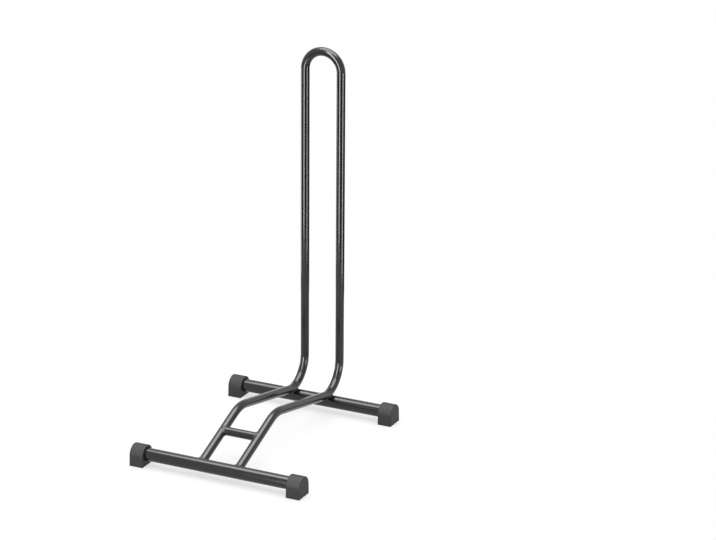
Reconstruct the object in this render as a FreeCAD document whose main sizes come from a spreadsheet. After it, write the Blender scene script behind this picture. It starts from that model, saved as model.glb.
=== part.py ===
import FreeCAD, Part
import math
import os
import Sketcher
from FreeCAD import Placement, Rotation, Vector

# A hoop bike rack that stands on the floor and holds one bicycle by a wheel.
# One bent tube makes both rails, both uprights and the half-round top. Its two front ends are
# coped onto the front cross tube, and its two lower bends stand on the rear cross tube. A short
# rung ties the rails together, and each cross tube ends in two rubber feet.
#
# Frame: millimetres, +Z up, X along the cross tubes, +Y from the front of the rack to the back.
# The origin is on the floor, under the middle of the rack's outline.

SIZES = {
    # Whole rack
    "overall_width": 361.0,
    "overall_height": 732.0,
    "cross_tube_spacing": 395.0,
    "axis_height": 22.0,
    # Cross tubes
    "cross_tube_diameter": 25.4,
    "cross_tube_wall": 1.5,
    # Hoop tube: bends are given on the tube's centre line. The knee is the corner at which the
    # rail's two straight runs would meet, measured from the front cross tube's axis.
    "hoop_tube_diameter": 17.0,
    "hoop_tube_wall": 1.5,
    "hoop_spacing": 77.0,
    "knee_run": 158.5,
    "knee_rise": 63.0,
    "knee_radius": 80.0,
    "lower_bend_radius": 57.0,
    "upright_setback": 41.0,
    # Rung between the rails, cut from the hoop's tube
    "rung_run": 91.0,
    # Rubber feet
    "foot_length": 28.5,
    "foot_width": 39.5,
    "foot_height": 40.0,
    "foot_end_wall": 4.0,
    "foot_rim_radius": 1.5,
    "foot_mouth_radius": 1.0,
    "socket_clearance": 0.1,
    "tread_groove_width": 3.0,
    "tread_groove_depth": 2.0,
    "tread_groove_pitch": 12.0,
    "tread_groove_count": 3,
    # Weld beads
    "weld_leg": 2.2,
    "rung_weld_leg": 1.7,
    "weld_chamfer": 1.3,
    "weld_root_radius": 2.0,
}

# Places that follow from the sizes
RACK_DEPTH = (
    "(Sizes.foot_width / 2 + Sizes.cross_tube_spacing"
    " + Sizes.upright_setback + Sizes.hoop_tube_diameter / 2)"
)
FRONT_AXIS_Y = f"(Sizes.foot_width / 2 - {RACK_DEPTH} / 2)"
REAR_AXIS_Y = f"({FRONT_AXIS_Y} + Sizes.cross_tube_spacing)"
RAIL_ANGLE = "atan(Sizes.knee_rise / Sizes.knee_run)"
UPRIGHT_RUN = "(Sizes.cross_tube_spacing + Sizes.upright_setback)"
ARCH_RISE = (
    "(Sizes.overall_height - Sizes.axis_height"
    " - (Sizes.hoop_spacing + Sizes.hoop_tube_diameter) / 2)"
)
RUNG_RISE = "(Sizes.rung_run * Sizes.knee_rise / Sizes.knee_run)"
SEAT_DISTANCE = (
    "(Sizes.lower_bend_radius"
    " + (Sizes.hoop_tube_diameter + Sizes.cross_tube_diameter) / 2)"
)
CROSS_TUBE_LENGTH = "(Sizes.overall_width - 2 * Sizes.foot_end_wall)"
CROWN_RISE = "(Sizes.foot_height - Sizes.foot_width / 2)"

# How the sketcher names its own origin, its horizontal axis and the spots on a line or arc
ORIGIN = (-1, 1)
CROSS_AXIS = -1
START = 1
END = 2
CENTRE = 3

# Closer than this, two lengths count as equal. A cut takes more than the least volume
LENGTH_TOLERANCE = 0.001
LEAST_CUT = 1.0

document = FreeCAD.newDocument("hoop_bike_rack")


def make_sheet():
    """Write the driving sizes, one named cell each."""
    sheet = document.addObject("Spreadsheet::Sheet", "Sizes")
    for row, (name, size) in enumerate(SIZES.items(), start=1):
        sheet.set(f"A{row}", name)
        sheet.set(f"B{row}", str(size))
        sheet.setAlias(f"B{row}", name)
    document.recompute()
    return sheet


sheet = make_sheet()


def value(formula):
    """The number that a formula on the sheet's cells gives now."""
    result = sheet.evalExpression(formula)
    return getattr(result, "Value", result)


def new_body(name):
    """An empty body whose label names its file."""
    body = document.addObject("PartDesign::Body", name)
    body.Label = name
    return body


def place(item, x="0", y="0", z="0", tilt=None, turn=None):
    """Place an item by formulas; tilt turns it about X, turn is a fixed angle about Z."""
    if turn is not None:
        item.Placement = Placement(Vector(), Rotation(Vector(0, 0, 1), turn))
    if tilt is not None:
        item.Placement = Placement(Vector(), Rotation(Vector(1, 0, 0), 1))
        item.setExpression("Placement.Rotation.Angle", tilt)
    for axis, formula in zip("xyz", (x, y, z)):
        item.setExpression(f"Placement.Base.{axis}", formula)


def origin_plane(body, role):
    """One of the body's own origin planes, such as XY_Plane."""
    return next(item for item in body.Origin.OriginFeatures if item.Role == role)


def new_sketch(body, name, role, offset=None):
    """A sketch on an origin plane, moved along the plane's normal by a formula."""
    sketch = body.newObject("Sketcher::SketchObject", f"{body.Name}_{name}")
    sketch.AttachmentSupport = (origin_plane(body, role), [""])
    sketch.MapMode = "FlatFace"
    if offset is not None:
        sketch.setExpression("AttachmentOffset.Base.z", offset)
    return sketch


def bind(sketch, name, formula, kind, *places):
    """Add a dimension to a sketch and tie it to a formula."""
    index = sketch.addConstraint(Sketcher.Constraint(kind, *places, value(formula)))
    sketch.renameConstraint(index, name)
    sketch.setExpression(f"Constraints.{name}", formula)


def constrain(sketch, kind, *places):
    """Add a geometric constraint, which has no size."""
    sketch.addConstraint(Sketcher.Constraint(kind, *places))


def draw_circle(sketch, name, radius, across="0", up="0"):
    """A circle whose radius and centre are formulas."""
    centre = Vector(value(across), value(up), 0)
    circle = sketch.addGeometry(Part.Circle(centre, Vector(0, 0, 1), value(radius)))
    bind(sketch, f"{name}_radius", radius, "Radius", circle)
    bind(sketch, f"{name}_across", across, "DistanceX", *ORIGIN, circle, CENTRE)
    bind(sketch, f"{name}_up", up, "DistanceY", *ORIGIN, circle, CENTRE)
    return circle


def draw_tube_section(sketch, diameter, wall, across="0", up="0"):
    """The two circles of a round tube's section."""
    draw_circle(sketch, "outside", f"{diameter} / 2", across, up)
    draw_circle(sketch, "bore", f"{diameter} / 2 - {wall}", across, up)


def pad(body, sketch, length, symmetric=False):
    """Raise a sketch into a solid, to one side or half to each side."""
    feature = body.newObject("PartDesign::Pad", f"{body.Name}_pad")
    feature.Profile = sketch
    feature.setExpression("Length", length)
    if symmetric:
        feature.SideType = "Symmetric"
    return feature


def cut_through(body, sketch, name):
    """Cut a sketch right through the body, to both sides of its plane."""
    document.recompute()
    before = body.Shape.Volume
    feature = body.newObject("PartDesign::Pocket", f"{body.Name}_{name}")
    feature.Profile = sketch
    feature.Type = "ThroughAll"
    feature.SideType = "Symmetric"
    document.recompute()
    expect_less(body, name, before)
    return feature


def expect_less(body, name, before):
    """Stop when a cut took nothing away."""
    if body.Shape.Volume > before - LEAST_CUT:
        raise RuntimeError(f"{body.Label}: {name} cuts nothing")


def draw_rail_path(sketch):
    """The centre line of a rail and its upright: three straight runs and two bends.

    It runs from the top of the upright down to the front cross tube's axis, which is the
    sketch's origin. The lower bend stands on the rear cross tube, so its centre lies at the
    seat distance from that tube's axis, and the middle run is tangent to both bends.
    """
    bend = value("Sizes.lower_bend_radius")
    knee = value("Sizes.knee_radius")
    upright = value(UPRIGHT_RUN)
    top = value(ARCH_RISE)
    spacing = value("Sizes.cross_tube_spacing")
    corner = Vector(value("Sizes.knee_run"), value("Sizes.knee_rise"), 0)
    centre_run = upright - bend
    centre_rise = math.sqrt(value(SEAT_DISTANCE) ** 2 - (centre_run - spacing) ** 2)
    bend_centre = Vector(centre_run, centre_rise, 0)

    # Angles from the horizontal: the front run climbs and the middle run falls
    climb = math.atan2(corner.y, corner.x)
    to_centre = bend_centre - corner
    fall = math.asin(bend / to_centre.Length) - math.atan2(to_centre.y, to_centre.x)
    along = Vector(math.cos(fall), -math.sin(fall), 0)
    tangent_length = knee * math.tan((climb + fall) / 2)
    knee_front = corner - Vector(math.cos(climb), math.sin(climb), 0) * tangent_length
    knee_back = corner + along * tangent_length
    knee_centre = knee_back - Vector(math.sin(fall), math.cos(fall), 0) * knee
    bend_start = bend_centre - Vector(math.sin(fall), math.cos(fall), 0) * bend
    bend_end = bend_centre + Vector(bend, 0, 0)

    normal = Vector(0, 0, 1)
    upright_line = sketch.addGeometry(Part.LineSegment(Vector(upright, top, 0), bend_end))
    bend_arc = sketch.addGeometry(
        Part.ArcOfCircle(Part.Circle(bend_centre, normal, bend), -math.pi / 2 - fall, 0)
    )
    middle_line = sketch.addGeometry(Part.LineSegment(bend_start, knee_back))
    knee_arc = sketch.addGeometry(
        Part.ArcOfCircle(
            Part.Circle(knee_centre, normal, knee), math.pi / 2 - fall, math.pi / 2 + climb
        )
    )
    front_line = sketch.addGeometry(Part.LineSegment(knee_front, Vector()))
    corner_point = sketch.addGeometry(Part.Point(corner), True)
    seat_line = sketch.addGeometry(Part.LineSegment(bend_centre, Vector(spacing, 0, 0)), True)

    constrain(sketch, "Vertical", upright_line)
    constrain(sketch, "Tangent", upright_line, END, bend_arc, END)
    constrain(sketch, "Tangent", middle_line, START, bend_arc, START)
    constrain(sketch, "Tangent", middle_line, END, knee_arc, START)
    constrain(sketch, "Tangent", front_line, START, knee_arc, END)
    constrain(sketch, "Coincident", front_line, END, *ORIGIN)
    constrain(sketch, "PointOnObject", corner_point, START, middle_line)
    constrain(sketch, "PointOnObject", corner_point, START, front_line)
    constrain(sketch, "Coincident", seat_line, START, bend_arc, CENTRE)
    constrain(sketch, "PointOnObject", seat_line, END, CROSS_AXIS)
    bind(sketch, "upright_run", UPRIGHT_RUN, "DistanceX", *ORIGIN, upright_line, START)
    bind(sketch, "arch_rise", ARCH_RISE, "DistanceY", *ORIGIN, upright_line, START)
    bind(sketch, "bend_radius", "Sizes.lower_bend_radius", "Radius", bend_arc)
    bind(sketch, "knee_radius", "Sizes.knee_radius", "Radius", knee_arc)
    bind(sketch, "knee_run", "Sizes.knee_run", "DistanceX", *ORIGIN, corner_point, START)
    bind(sketch, "knee_rise", "Sizes.knee_rise", "DistanceY", *ORIGIN, corner_point, START)
    bind(sketch, "seat_run", "Sizes.cross_tube_spacing", "DistanceX", *ORIGIN, seat_line, END)
    bind(sketch, "seat_distance", SEAT_DISTANCE, "Distance", seat_line)


def make_hoop_tube():
    """The one bent tube: arch, right leg swept down and forward, left leg mirrored."""
    body = new_body("hoop_tube")
    section = new_sketch(body, "section", "XY_Plane", ARCH_RISE)
    draw_tube_section(
        section, "Sizes.hoop_tube_diameter", "Sizes.hoop_tube_wall",
        "Sizes.hoop_spacing / 2", UPRIGHT_RUN,
    )
    path = new_sketch(body, "path", "YZ_Plane", "Sizes.hoop_spacing / 2")
    draw_rail_path(path)
    document.recompute()

    arch = body.newObject("PartDesign::Revolution", "hoop_tube_arch")
    arch.Profile = section
    arch.ReferenceAxis = (section, ["V_Axis"])
    arch.Angle = 180
    arch.Reversed = True
    leg = body.newObject("PartDesign::AdditivePipe", "hoop_tube_leg")
    leg.Profile = section
    leg.Spine = (path, [""])
    document.recompute()
    other_leg = body.newObject("PartDesign::Mirrored", "hoop_tube_other_leg")
    other_leg.Originals = [leg]
    other_leg.MirrorPlane = (origin_plane(body, "YZ_Plane"), [""])
    body.Tip = other_leg

    cope = new_sketch(body, "cope_section", "YZ_Plane")
    draw_circle(cope, "cope", "Sizes.cross_tube_diameter / 2")
    cut_through(body, cope, "cope")
    place(body, y=FRONT_AXIS_Y, z="Sizes.axis_height")
    return body


def make_cross_tube(name, axis_y):
    """A straight tube across the rack, whose ends stand against the feet's end walls."""
    body = new_body(name)
    section = new_sketch(body, "section", "YZ_Plane")
    draw_tube_section(section, "Sizes.cross_tube_diameter", "Sizes.cross_tube_wall")
    pad(body, section, CROSS_TUBE_LENGTH, symmetric=True)
    place(body, y=axis_y, z="Sizes.axis_height")
    return body


def make_rung():
    """The short tube between the rails, coped to them at both ends.

    The body is tilted so that the rails run along its own Y axis.
    """
    body = new_body("rail_rung")
    section = new_sketch(body, "section", "YZ_Plane")
    draw_tube_section(section, "Sizes.hoop_tube_diameter", "Sizes.hoop_tube_wall")
    pad(body, section, "Sizes.hoop_spacing", symmetric=True)
    cope = new_sketch(body, "cope_section", "XZ_Plane")
    radius = "Sizes.hoop_tube_diameter / 2"
    draw_circle(cope, "right_rail", radius, "Sizes.hoop_spacing / 2")
    draw_circle(cope, "left_rail", radius, "-Sizes.hoop_spacing / 2")
    cut_through(body, cope, "cope")
    place(
        body, y=f"{FRONT_AXIS_Y} + Sizes.rung_run", z=f"Sizes.axis_height + {RUNG_RISE}",
        tilt=RAIL_ANGLE,
    )
    return body


def draw_foot_section(sketch):
    """A D lying on its flat side: flat sole, straight sides and a half-round top."""
    half = value("Sizes.foot_width / 2")
    rise = value(CROWN_RISE)
    sole_left = Vector(-half, 0, 0)
    sole_right = Vector(half, 0, 0)
    top = Part.ArcOfCircle(Part.Circle(Vector(0, rise, 0), Vector(0, 0, 1), half), 0, math.pi)
    sole = sketch.addGeometry(Part.LineSegment(sole_left, sole_right))
    right = sketch.addGeometry(Part.LineSegment(sole_right, Vector(half, rise, 0)))
    crown = sketch.addGeometry(top)
    left = sketch.addGeometry(Part.LineSegment(Vector(-half, rise, 0), sole_left))
    constrain(sketch, "Coincident", sole, END, right, START)
    constrain(sketch, "Tangent", right, END, crown, START)
    constrain(sketch, "Tangent", crown, END, left, START)
    constrain(sketch, "Coincident", left, END, sole, START)
    constrain(sketch, "Vertical", right)
    constrain(sketch, "Symmetric", sole, START, sole, END, *ORIGIN)
    bind(sketch, "width", "Sizes.foot_width", "DistanceX", sole, START, sole, END)
    bind(sketch, "crown_rise", CROWN_RISE, "DistanceY", *ORIGIN, crown, CENTRE)


def draw_groove_section(sketch):
    """The front tread groove: a rectangle across the sole's lower edge."""
    reach = "Sizes.tread_groove_pitch * (Sizes.tread_groove_count - 1) / 2"
    near = f"({reach} - Sizes.tread_groove_width / 2)"
    left = value(near)
    width = value("Sizes.tread_groove_width")
    depth = value("Sizes.tread_groove_depth")
    corners = [
        Vector(left, -depth, 0),
        Vector(left + width, -depth, 0),
        Vector(left + width, depth, 0),
        Vector(left, depth, 0),
    ]
    sides = [
        sketch.addGeometry(Part.LineSegment(corner, corners[(number + 1) % len(corners)]))
        for number, corner in enumerate(corners)
    ]
    bottom, right, upper, left_side = sides
    for first, second in zip(sides, sides[1:] + sides[:1]):
        constrain(sketch, "Coincident", first, END, second, START)
    constrain(sketch, "Horizontal", bottom)
    constrain(sketch, "Vertical", right)
    constrain(sketch, "Horizontal", upper)
    constrain(sketch, "Vertical", left_side)
    bind(sketch, "offset", near, "DistanceX", *ORIGIN, bottom, START)
    bind(sketch, "width", "Sizes.tread_groove_width", "DistanceX", bottom, START, bottom, END)
    bind(sketch, "below", "Sizes.tread_groove_depth", "DistanceY", bottom, START, *ORIGIN)
    bind(sketch, "above", "Sizes.tread_groove_depth", "DistanceY", *ORIGIN, upper, START)


def rim_edges(body, across):
    """Names of the round and upright edges of the foot's end face at this place."""
    names = []
    for number, edge in enumerate(body.Shape.Edges, start=1):
        box = edge.BoundBox
        on_face = max(abs(box.XMin - across), abs(box.XMax - across)) < LENGTH_TOLERANCE
        if on_face and box.ZMax > LENGTH_TOLERANCE:
            names.append(f"Edge{number}")
    return names


def soften_rim(body, name, across, radius):
    """Round the edge round one end face of a foot, apart from its sole."""
    document.recompute()
    tip = body.Tip
    feature = body.newObject("PartDesign::Fillet", f"{body.Name}_{name}")
    feature.Base = (tip, rim_edges(body, value(across)))
    feature.setExpression("Radius", radius)
    document.recompute()


def make_foot(name, outward, axis_y):
    """A rubber foot pushed over a cross tube's end.

    It is built with its mouth at the origin and its closed end at +X, and is turned half way
    round for the left side.
    """
    body = new_body(name)
    outline = new_sketch(body, "outline", "YZ_Plane")
    draw_foot_section(outline)
    pad(body, outline, "Sizes.foot_length")
    soften_rim(body, "rim", "Sizes.foot_length", "Sizes.foot_rim_radius")
    soften_rim(body, "mouth_rim", "0", "Sizes.foot_mouth_radius")

    document.recompute()
    before = body.Shape.Volume
    socket_section = new_sketch(body, "socket_section", "YZ_Plane")
    draw_circle(
        socket_section, "socket", "Sizes.cross_tube_diameter / 2 + Sizes.socket_clearance",
        up="Sizes.axis_height",
    )
    socket = body.newObject("PartDesign::Pocket", f"{name}_socket")
    socket.Profile = socket_section
    socket.Reversed = True
    socket.setExpression("Length", "Sizes.foot_length - Sizes.foot_end_wall")
    document.recompute()
    expect_less(body, "socket", before)

    groove_section = new_sketch(body, "groove_section", "YZ_Plane")
    draw_groove_section(groove_section)
    groove = cut_through(body, groove_section, "groove")
    tread = body.newObject("PartDesign::LinearPattern", f"{name}_tread")
    tread.Originals = [groove]
    tread.Direction = (groove_section, ["H_Axis"])
    tread.Reversed = True
    tread.Mode = "Spacing"
    tread.setExpression("Offset", "Sizes.tread_groove_pitch")
    tread.setExpression("Occurrences", "Sizes.tread_groove_count")
    before = body.Shape.Volume
    body.Tip = tread
    document.recompute()
    expect_less(body, "tread", before)

    mouth = "Sizes.overall_width / 2 - Sizes.foot_length"
    if outward > 0:
        place(body, x=mouth, y=axis_y)
    else:
        place(body, x=f"-({mouth})", y=axis_y, turn=180)
    return body


def bead_between(base, branch, branch_leg, root=None):
    """A ring of weld metal in the corner between two tubes.

    base and branch make a tube's outside with a given growth. The ring lies inside both grown
    tubes and outside both true ones, and its free corner is cut back. root is the spot where
    stacked tubes touch, which the metal doesn't reach.
    """
    base_leg = value("Sizes.weld_leg")
    bead = base(base_leg).common(branch(branch_leg)).cut(base(0)).cut(branch(0))
    if root is not None:
        bead = bead.cut(root)
    crown = [
        edge for edge in bead.Edges
        if lies_at(edge, base(0), base_leg) and lies_at(edge, branch(0), branch_leg)
    ]
    return bead.Solids[0].makeChamfer(value("Sizes.weld_chamfer"), crown)


def lies_at(edge, shape, distance):
    """Whether the middle of an edge lies this far from a shape."""
    middle = edge.valueAt((edge.FirstParameter + edge.LastParameter) / 2)
    return abs(Part.Vertex(middle).distToShape(shape)[0] - distance) < LENGTH_TOLERANCE


def add_weld(name, shape, x, y, z, tilted=True):
    """Keep a bead as a named piece and place it, tilted with the rails or level."""
    weld = document.addObject("Part::Feature", name)
    weld.Label = name
    weld.Shape = shape
    tilt = value(RAIL_ANGLE) if tilted else 0
    centre = Vector(value(x), value(y), value(z))
    weld.Placement = Placement(centre, Rotation(Vector(1, 0, 0), tilt))
    return weld


def make_front_weld(name, side):
    """The bead where a rail's coped end meets the front cross tube. The rail runs along +Y."""
    cross_radius = value("Sizes.cross_tube_diameter / 2")
    rail_radius = value("Sizes.hoop_tube_diameter / 2")
    reach = 4 * cross_radius

    def cross_tube(growth):
        return Part.makeCylinder(
            cross_radius + growth, 2 * reach, Vector(-reach, 0, 0), Vector(1, 0, 0)
        )

    def rail(growth):
        return Part.makeCylinder(rail_radius + growth, reach, Vector(), Vector(0, 1, 0))

    return add_weld(
        name, bead_between(cross_tube, rail, value("Sizes.weld_leg")),
        f"{side} * Sizes.hoop_spacing / 2", FRONT_AXIS_Y, "Sizes.axis_height",
    )


def make_rung_weld(name, side):
    """The bead where the rung's coped end meets a rail."""
    rail_radius = value("Sizes.hoop_tube_diameter / 2")
    half_length = value("Sizes.hoop_spacing / 2")
    reach = 4 * rail_radius

    def rail(growth):
        return Part.makeCylinder(
            rail_radius + growth, 2 * reach, Vector(0, -reach, 0), Vector(0, 1, 0)
        )

    def rung(growth):
        return Part.makeCylinder(
            rail_radius + growth, half_length, Vector(), Vector(-side, 0, 0)
        )

    return add_weld(
        name, bead_between(rail, rung, value("Sizes.rung_weld_leg")),
        f"{side} * Sizes.hoop_spacing / 2",
        f"{FRONT_AXIS_Y} + Sizes.rung_run", f"Sizes.axis_height + {RUNG_RISE}",
    )


def make_rear_weld(name, side):
    """The bead round the spot where a lower bend stands on the rear cross tube."""
    cross_radius = value("Sizes.cross_tube_diameter / 2")
    hoop_radius = value("Sizes.hoop_tube_diameter / 2")
    bend = value("Sizes.lower_bend_radius")
    reach = 4 * cross_radius
    centre_run = value("Sizes.upright_setback") - bend
    centre_rise = math.sqrt(value(SEAT_DISTANCE) ** 2 - centre_run ** 2)
    bend_centre = Vector(0, centre_run, centre_rise)

    def cross_tube(growth):
        return Part.makeCylinder(
            cross_radius + growth, 2 * reach, Vector(-reach, 0, 0), Vector(1, 0, 0)
        )

    def lower_bend(growth):
        return Part.makeTorus(bend, hoop_radius + growth, bend_centre, Vector(1, 0, 0))

    root = Part.makeCylinder(value("Sizes.weld_root_radius"), reach, Vector(), bend_centre)
    return add_weld(
        name, bead_between(cross_tube, lower_bend, value("Sizes.weld_leg"), root),
        f"{side} * Sizes.hoop_spacing / 2", REAR_AXIS_Y, "Sizes.axis_height", tilted=False,
    )


def make_rack():
    """Build every piece of the rack."""
    pieces = [
        make_hoop_tube(),
        make_cross_tube("front_cross_tube", FRONT_AXIS_Y),
        make_cross_tube("rear_cross_tube", REAR_AXIS_Y),
        make_rung(),
    ]
    for side_name, side in (("left", -1), ("right", 1)):
        pieces.append(make_foot(f"front_{side_name}_foot", side, FRONT_AXIS_Y))
        pieces.append(make_foot(f"rear_{side_name}_foot", side, REAR_AXIS_Y))
        pieces.append(make_front_weld(f"front_{side_name}_weld", side))
        pieces.append(make_rear_weld(f"rear_{side_name}_weld", side))
        pieces.append(make_rung_weld(f"rung_{side_name}_weld", side))
    return pieces


def check(pieces):
    """Stop on a failed feature or an empty, broken or split piece."""
    for item in document.Objects:
        if {"Invalid", "Error"} & set(item.State):
            raise RuntimeError(f"{item.Label} failed: {item.State}")
    for piece in pieces:
        shape = piece.Shape
        if shape.isNull() or not shape.isValid() or len(shape.Solids) != 1:
            raise RuntimeError(f"{piece.Label} isn't one sound solid")


def export(pieces):
    """Write one file for each piece."""
    os.makedirs("parts", exist_ok=True)
    for piece in pieces:
        piece.Shape.exportStep(f"parts/{piece.Label}.step")


rack = make_rack()
document.recompute()
check(rack)
export(rack)
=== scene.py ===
"""A hoop bike rack: one bent tube, welded to two cross tubes that stand in rubber feet.

Everything is in metres, +Z up, X along the cross tubes and +Y from the front to the back.
"""

import logging
import math
from abc import ABC, abstractmethod
from collections.abc import Mapping, Sequence
from dataclasses import dataclass, field, fields
from enum import Enum
from typing import Any

import bmesh
import bpy
import numpy as np
from mathutils import Matrix, Vector


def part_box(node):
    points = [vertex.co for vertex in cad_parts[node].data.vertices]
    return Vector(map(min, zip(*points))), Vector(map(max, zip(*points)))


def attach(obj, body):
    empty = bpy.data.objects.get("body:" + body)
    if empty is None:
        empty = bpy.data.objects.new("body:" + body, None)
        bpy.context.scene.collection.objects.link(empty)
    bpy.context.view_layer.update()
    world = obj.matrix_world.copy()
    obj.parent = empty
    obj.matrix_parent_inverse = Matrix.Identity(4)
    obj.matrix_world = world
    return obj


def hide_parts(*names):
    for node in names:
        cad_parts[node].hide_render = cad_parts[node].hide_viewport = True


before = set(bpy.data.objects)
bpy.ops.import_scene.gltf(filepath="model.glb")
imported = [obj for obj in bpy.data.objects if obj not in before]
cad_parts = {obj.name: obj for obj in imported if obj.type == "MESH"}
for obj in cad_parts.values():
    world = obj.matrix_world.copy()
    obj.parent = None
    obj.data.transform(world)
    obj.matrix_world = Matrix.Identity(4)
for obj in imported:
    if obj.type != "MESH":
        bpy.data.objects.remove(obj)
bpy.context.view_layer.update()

log = logging.getLogger("hoop_bike_rack")

Colour = tuple[float, float, float]
Triple = tuple[float, float, float]
MILLIMETRE = 0.001
BODY = "root"
SIDEWAYS = np.array([1.0, 0.0, 0.0])
DISC_SIDES = 128
# Points of a line, and of two rims that meet, are one point where they lie this close
LINE_MERGE = 0.01 * MILLIMETRE
RIM_MERGE = 0.001 * MILLIMETRE
# An edge that turns by more than this, in radians, is shaded crisp
CRISP_ANGLE = 0.6
# The socket that a tree has for each kind of size
SOCKET_KINDS = {float: "NodeSocketFloat", int: "NodeSocketInt", Triple: "NodeSocketVector"}


class Side(Enum):
    """Left and right of the rack, seen from its front, with the sign of X there."""

    LEFT = -1
    RIGHT = 1

    @property
    def word(self) -> str:
        """The side's name as it stands in a node's name."""
        return self.name.lower()


class End(Enum):
    """The front of the rack, where the wheel rolls in, and the rear, where the hoop stands."""

    FRONT = "front"
    REAR = "rear"


class Joint(Enum):
    """The joints that are welded on both sides of the rack."""

    FRONT = ("front", 5.0)
    RUNG = ("rung", 4.0)
    REAR = ("rear", 4.0)

    def __init__(self, word: str, seed: float) -> None:
        """Take the joint's word in a node's name, and the number between its beads' seeds."""
        self.word = word
        self.seed = seed


class Slot(Enum):
    """The record's material slots."""

    PAINT = "frame_paint"
    RUBBER = "foot_rubber"


class Panel(Enum):
    """The outline of a lamp, with the share of its width times height that it fills."""

    RECTANGLE = 1.0
    ELLIPSE = math.pi / 4


class Wire:
    """One output socket, with arithmetic that adds its own nodes."""

    def __init__(self, tree: "Tree", socket: bpy.types.NodeSocket | None) -> None:
        """Wrap a tree's output socket, or None behind a node that ends the tree."""
        self.tree = tree
        self.socket = socket

    def __getitem__(self, name: str) -> "Wire":
        """Another output of the same node."""
        return Wire(self.tree, self.socket.node.outputs[name])

    def _maths(self, operation: str, first: Any, second: Any = None) -> "Wire":
        """Add one Math or Vector Math node.

        Args:
            operation: The node's operation.
            first: Its first operand.
            second: Its second operand, if it takes one.

        Returns:
            The node's result.
        """
        vectors = is_vector(first) or is_vector(second)
        kind = "ShaderNodeVectorMath" if vectors else "ShaderNodeMath"
        operands = {0: first} if second is None else {0: first, 1: second}
        return self.tree.add(kind, operands, operation=operation)

    def __add__(self, other: Any) -> "Wire":
        """This plus other."""
        return self._maths("ADD", self, other)

    def __radd__(self, other: Any) -> "Wire":
        """Other plus this."""
        return self._maths("ADD", other, self)

    def __sub__(self, other: Any) -> "Wire":
        """This minus other."""
        return self._maths("SUBTRACT", self, other)

    def __rsub__(self, other: Any) -> "Wire":
        """Other minus this."""
        return self._maths("SUBTRACT", other, self)

    def __mul__(self, other: Any) -> "Wire":
        """Multiply.

        Args:
            other: A number or, for a product part by part, a vector.

        Returns:
            This times other.
        """
        if is_vector(self) and not is_vector(other):
            sockets = {0: self, "Scale": other}
            return self.tree.add("ShaderNodeVectorMath", sockets, operation="SCALE")
        return self._maths("MULTIPLY", self, other)

    def __rmul__(self, other: Any) -> "Wire":
        """Other times this."""
        return self * other

    def __truediv__(self, other: Any) -> "Wire":
        """This divided by other."""
        return self._maths("DIVIDE", self, other)

    def __rtruediv__(self, other: Any) -> "Wire":
        """Other divided by this."""
        return self._maths("DIVIDE", other, self)

    def dot(self, other: Any) -> "Wire":
        """The dot product of two vectors."""
        return self._maths("DOT_PRODUCT", self, other)["Value"]

    def cross(self, other: Any) -> "Wire":
        """The cross product of two vectors."""
        return self._maths("CROSS_PRODUCT", self, other)

    def unit(self) -> "Wire":
        """This vector at a length of one."""
        return self._maths("NORMALIZE", self)

    def of(self, operation: str) -> "Wire":
        """A one-number function of this, such as SINE or ABSOLUTE."""
        return self._maths(operation, self)

    def at_least(self, other: Any) -> "Wire":
        """The larger of this and other."""
        return self._maths("MAXIMUM", self, other)

    def over(self, other: Any) -> "Wire":
        """1 where this is greater than other."""
        return self._maths("GREATER_THAN", self, other)


def is_vector(value: Any) -> bool:
    """Whether a wire or a plain value is a vector."""
    return value.socket.type == "VECTOR" if isinstance(value, Wire) else isinstance(value, tuple)


class Tree:
    """Adds nodes to one node tree and joins their sockets."""

    def __init__(self, tree: bpy.types.NodeTree) -> None:
        """Start on the node tree to fill."""
        self.tree = tree

    def add(
        self, kind: str, sockets: Mapping[str | int, Any] | None = None, **settings: Any
    ) -> Wire:
        """Add one node.

        Args:
            kind: The node's type.
            sockets: What each input socket is set to or joined with.
            settings: The node's own properties, which are set first.

        Returns:
            The node's first output that is enabled.
        """
        node = self.tree.nodes.new(kind)
        for name, value in settings.items():
            setattr(node, name, value)
        for key, value in (sockets or {}).items():
            self.join(value, node.inputs[key])
        return Wire(self, next((socket for socket in node.outputs if socket.enabled), None))

    def join(self, value: Any, socket: bpy.types.NodeSocket) -> None:
        """Link an input socket or set its own value.

        Args:
            value: A wire, a list of wires or a plain value.
            socket: The input socket.
        """
        if isinstance(value, Wire):
            self.tree.links.new(value.socket, socket)
        elif isinstance(value, list):
            for wire in value:
                self.tree.links.new(wire.socket, socket)
        else:
            socket.default_value = value


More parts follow.
